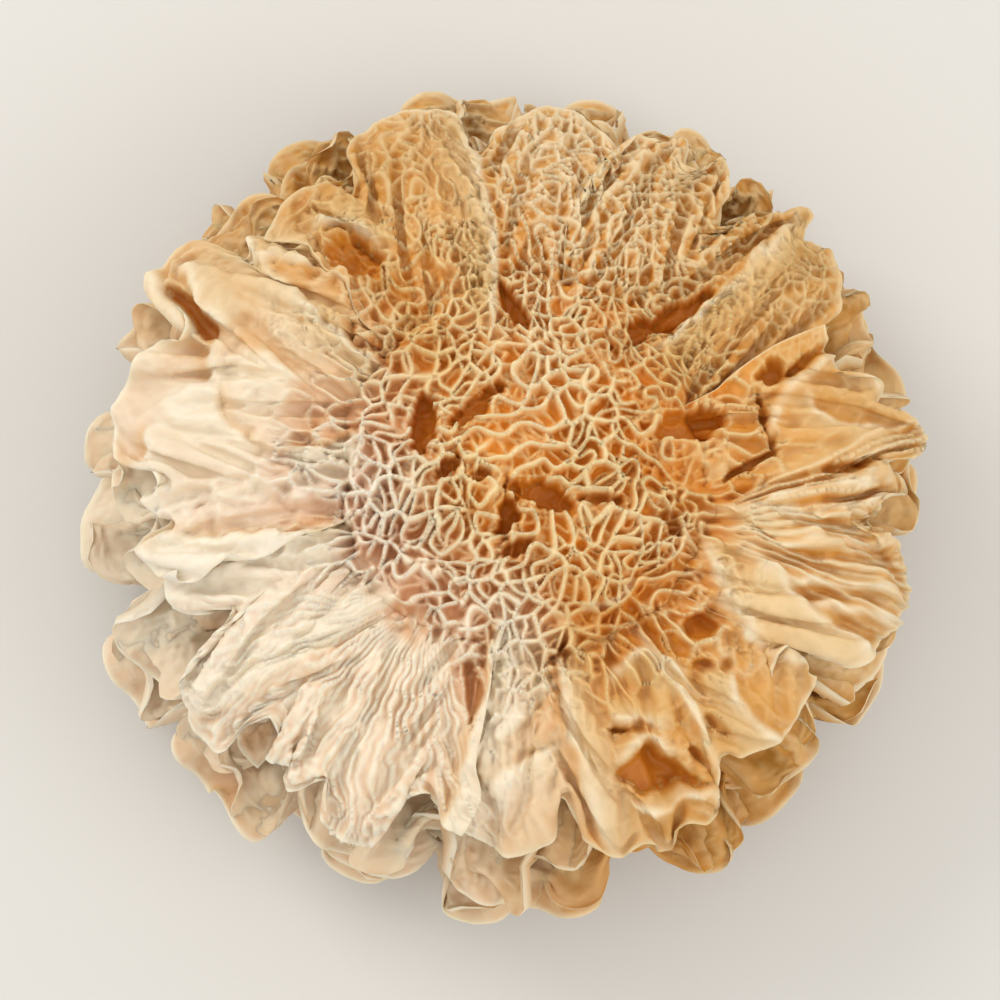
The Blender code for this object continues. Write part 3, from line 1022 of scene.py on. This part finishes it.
def make_heart(material):
    """The middle of the head: inner fronds so tightly folded that only their walls' crests show."""
    s, t = np.meshgrid(*(np.linspace(-1, 1, HEART_GRID) for _ in range(2)), indexing="ij")
    x = HEART_RADIUS * t * np.sqrt(1 - s**2 / 2)
    y = HEART_RADIUS * s * np.sqrt(1 - t**2 / 2)
    radius = np.hypot(x, y)
    level = HEART_TOP - HEART_FALL * radius**2 + 0.8 * noise2(x * 0.14, y * 0.14, 21)
    level += 0.5 * noise2(x * 0.3, y * 0.3, 22)
    level -= HEART_DROP * smoothstep(*HEART_RIM, radius + seam_stray(x, y))
    folds, walls, deep, fields = upper_side(x, y, TOP_SEED, True)
    lean = 0.35 * fields["crest"] * (1 - smoothstep(11, 15, radius))
    lean_x = lean * noise2(x * 0.35, y * 0.35, 23)
    lean_y = lean * noise2(x * 0.35, y * 0.35, 24)
    upper = np.stack([x + lean_x, y + lean_y, level + folds + walls - deep], -1)
    lower = np.stack([x, y, HEART_UNDERSIDE + HEART_RISE * radius**2], -1)
    nodes = [f"inner_frond_{k}" for k in range(1, 6)] + [f"heart_frond_{k}" for k in range(1, 4)]
    mesh = sheet_mesh("heart_folds", [Body(upper, lower, fields)])
    add_piece("heart_folds", mesh, material, "frond", *nodes)


def make_base(material):
    """The foot: the frame's ball with a lumpy, fissured skin."""
    turns, rises = BASE_GRID
    cut = math.asin(BASE_CENTRE_HEIGHT / BASE_RADIUS)
    turn = np.linspace(0, 2 * math.pi, turns, endpoint=False)[:, None]
    rise = np.linspace(-cut, math.pi / 2, rises)[None, :]
    x, y, z = np.cos(rise) * np.cos(turn), np.cos(rise) * np.sin(turn), np.sin(rise) + 0 * turn
    lumps = noise2(x * 4 + 20, y * 4 + z * 3 + 20, 41) * 0.25 - 0.3
    fissures = ridge(wall_distance(turn * 7, rise * 6 + 0 * turn, 1.6, 1.9, 42, 44), 0.25) * 0.3
    radius = BASE_RADIUS + (lumps - fissures) * (1 - smoothstep(1.2, 1.5, rise)) - 0.1
    points = np.stack([x * radius, y * radius, BASE_CENTRE_HEIGHT + z * radius], -1)
    points[:, 0, 2] = 0
    points[..., 2] = np.maximum(points[..., 2], 0)
    index = np.arange(turns * (rises - 1)).reshape(turns, rises - 1)
    ahead = np.roll(index, -1, axis=0)
    face = np.stack([index[:, :-1], ahead[:, :-1], ahead[:, 1:], index[:, 1:]], -1).reshape(-1, 4).tolist()
    top, bottom = index.size, index.size + 1
    face += [[index[k, -1], ahead[k, -1], top] for k in range(turns)]
    face += [[ahead[k, 0], index[k, 0], bottom] for k in range(turns)]
    corners = np.concatenate([points[:, :-1].reshape(-1, 3), [[0, 0, points[0, -1, 2]], [0, 0, 0]]]) * MM
    mesh = bpy.data.meshes.new("base_body")
    mesh.from_pydata(corners.tolist(), [], face)
    mesh.shade_smooth()
    add_piece("base_body", mesh, material, "base", "base")


# Materials

# A frond's colours from the head's middle to its rim: in the pits, on the crests, and in pits paled by a
# painted wash of reflected light
# The pits' deeper, darker orange is partly the tissue's own amber and partly painted shade and glow of
# light caught in them
PIT_COLOURS = ((0.0, (0.80, 0.32, 0.024)), (0.5, (0.74, 0.35, 0.038)), (1.0, (0.64, 0.34, 0.060)))
CREST_COLOURS = ((0.0, (0.82, 0.62, 0.32)), (0.5, (0.79, 0.60, 0.33)), (1.0, (0.70, 0.52, 0.28)))
LIGHT_WASHED_PITS = ((0.0, (0.60, 0.31, 0.18)), (0.3, (0.71, 0.49, 0.35)), (0.7, (0.79, 0.62, 0.48)))
LIGHT_WASHED_CREST = (0.87, 0.81, 0.70)
# Cream for rims, petal edges and net crests: partly their paler colour, partly a painted highlight along
# the rims and edges
EDGE_COLOUR = (0.90, 0.82, 0.66)
# The tissue's deeper amber tone, also laid on as painted shade at the feet of petal edges
AMBER_TONE_AND_SHADE = (0.88, 0.76, 0.55)
# Painted shade in the deep hollows, darker and redder the deeper they are
HOLLOW_SHADE_COLOUR = (0.64, 0.235, 0.016)
# The base's colours, from its darkest blotches to its lightest
BASE_COLOURS = ((0.3, (0.28, 0.11, 0.03)), (0.5, (0.50, 0.25, 0.07)), (0.7, (0.68, 0.42, 0.16)))


def new_material(name):
    material = bpy.data.materials.new(name)
    material.use_nodes = True
    return material, material.node_tree, material.node_tree.nodes["Principled BSDF"]


def set_inputs(node, values):
    for name, value in values.items():
        node.inputs[name].default_value = value


def feed(tree, socket, value):
    """Gives a socket a colour, a number or what comes out of another node."""
    if isinstance(value, tuple):
        socket.default_value = (*value, 1)
    elif isinstance(value, (int, float)):
        socket.default_value = value
    else:
        tree.links.new(value, socket)


def ramp_node(tree, driver, stops):
    node = tree.nodes.new("ShaderNodeValToRGB")
    elements = node.color_ramp.elements
    elements[0].position, elements[0].color = stops[0][0], (*stops[0][1], 1)
    elements[1].position, elements[1].color = stops[-1][0], (*stops[-1][1], 1)
    for position, colour in stops[1:-1]:
        elements.new(position).color = (*colour, 1)
    tree.links.new(driver, node.inputs["Fac"])
    return node.outputs["Color"]


def attribute_node(tree, name):
    node = tree.nodes.new("ShaderNodeAttribute")
    node.attribute_name = name
    return node.outputs["Fac"]


def math_node(tree, operation, *values):
    node = tree.nodes.new("ShaderNodeMath")
    node.operation = operation
    for socket, value in zip(node.inputs, values):
        feed(tree, socket, value)
    return node.outputs[0]


def mix_node(tree, factor, first, second, blend="MIX"):
    node = tree.nodes.new("ShaderNodeMix")
    node.data_type = "RGBA"
    node.blend_type = blend
    sockets = {socket.identifier: socket for socket in node.inputs}
    for name, value in (("Factor_Float", factor), ("A_Color", first), ("B_Color", second)):
        feed(tree, sockets[name], value)
    return next(socket for socket in node.outputs if socket.identifier == "Result_Color")


def noise_node(tree, scale, detail):
    coordinates = tree.nodes.new("ShaderNodeTexCoord")
    noise = tree.nodes.new("ShaderNodeTexNoise")
    set_inputs(noise, {"Scale": scale, "Detail": detail})
    tree.links.new(coordinates.outputs["Object"], noise.inputs["Vector"])
    return noise.outputs["Fac"]


def add_bump(tree, shader, height, strength, distance):
    bump = tree.nodes.new("ShaderNodeBump")
    set_inputs(bump, {"Strength": strength, "Distance": distance})
    tree.links.new(height, bump.inputs["Height"])
    tree.links.new(bump.outputs["Normal"], shader.inputs["Normal"])


def frond_material():
    material, tree, shader = new_material("dried_frond")
    names = ("reach", "crest", "deep", "pale", "bright", "amber")
    reach, crest, deep, pale, bright, amber = (attribute_node(tree, name) for name in names)
    blotches = noise_node(tree, 160, 5)
    shifted = math_node(tree, "MULTIPLY_ADD", blotches, 0.5, -0.25)
    shifted = math_node(tree, "ADD", reach, shifted)
    sharp = tree.nodes.new("ShaderNodeMapRange")
    sharp.interpolation_type = "LINEAR"
    set_inputs(sharp, {"From Min": 0.08, "From Max": 0.75})
    tree.links.new(crest, sharp.inputs["Value"])
    raised = sharp.outputs["Result"]
    pits = ramp_node(tree, shifted, PIT_COLOURS)
    crests = ramp_node(tree, shifted, CREST_COLOURS)
    # Pits against crests: the pits' colour is partly painted shade and glow, partly the tissue's own amber
    body = mix_node(tree, raised, pits, crests)
    washed = mix_node(tree, raised, ramp_node(tree, shifted, LIGHT_WASHED_PITS), LIGHT_WASHED_CREST)
    # Painted wash of reflected light, which pales and greys the colour where pale is high
    light_washed = mix_node(tree, math_node(tree, "MULTIPLY", pale, 0.9), body, washed)
    edged = mix_node(tree, math_node(tree, "MULTIPLY", bright, 0.7), light_washed, EDGE_COLOUR)
    toned_and_shaded = mix_node(tree, amber, edged, AMBER_TONE_AND_SHADE, "MULTIPLY")
    # Painted shade: the hollows darken with their depth
    coloured = mix_node(tree, math_node(tree, "MULTIPLY", deep, 0.85), toned_and_shaded, HOLLOW_SHADE_COLOUR)
    tree.links.new(coloured, shader.inputs["Base Color"])
    set_inputs(shader, {
        "Roughness": 0.5,
        "Subsurface Weight": 0.3,
        "Subsurface Radius": (1.0, 0.6, 0.35),
        "Subsurface Scale": 0.0008,
    })
    add_bump(tree, shader, noise_node(tree, 900, 4), 0.4, 0.0003)
    return material


def base_material():
    material, tree, shader = new_material("tough_base")
    blotches = noise_node(tree, 300, 6)
    tree.links.new(ramp_node(tree, blotches, BASE_COLOURS), shader.inputs["Base Color"])
    set_inputs(shader, {"Roughness": 0.75})
    add_bump(tree, shader, blotches, 0.5, 0.0004)
    return material


# Floor, light and camera


def make_stage():
    mesh = bpy.data.meshes.new("floor")
    corners = [(x * FLOOR_REACH, y * FLOOR_REACH, 0) for x, y in ((-1, -1), (1, -1), (1, 1), (-1, 1))]
    mesh.from_pydata(corners, [], [(0, 1, 2, 3)])
    floor = add_object("floor", mesh)
    material, _, shader = new_material("pale_floor")
    set_inputs(shader, {"Base Color": (0.70, 0.69, 0.67, 1), "Roughness": 0.8})
    mesh.materials.append(material)


def add_light(name, place, size, power, colour):
    light = bpy.data.lights.new(name, "AREA")
    light.size = size
    light.energy = power
    light.color = colour
    lamp = add_object(name, light)
    lamp.location = place
    lamp.rotation_euler = (LOOK_AT - Vector(place)).to_track_quat("-Z", "Y").to_euler()


def make_light():
    world = bpy.data.worlds.new("studio")
    bpy.context.scene.world = world
    world.use_nodes = True
    background = world.node_tree.nodes["Background"]
    set_inputs(background, {"Color": (1.0, 0.97, 0.92, 1), "Strength": 0.9})
    add_light("key", (-0.28, 0.22, 0.32), 0.18, 0.65, (1.0, 0.96, 0.90))
    add_light("fill", (0.30, -0.12, 0.28), 0.25, 0.4, (1.0, 0.97, 0.92))


def make_camera():
    data = bpy.data.cameras.new("camera")
    data.lens = CAMERA_LENS
    camera = add_object("camera", data)
    tilt = math.radians(CAMERA_ELEVATION)
    camera.location = LOOK_AT + Vector((0, -math.cos(tilt), math.sin(tilt))) * CAMERA_DISTANCE
    camera.rotation_euler = (LOOK_AT - camera.location).to_track_quat("-Z", "Y").to_euler()
    bpy.context.scene.camera = camera


make_stage()
make_light()
make_camera()
bpy.context.scene.view_settings.view_transform = "Standard"
make_base(base_material())
frond = frond_material()
make_fronds(frond)
make_heart(frond)
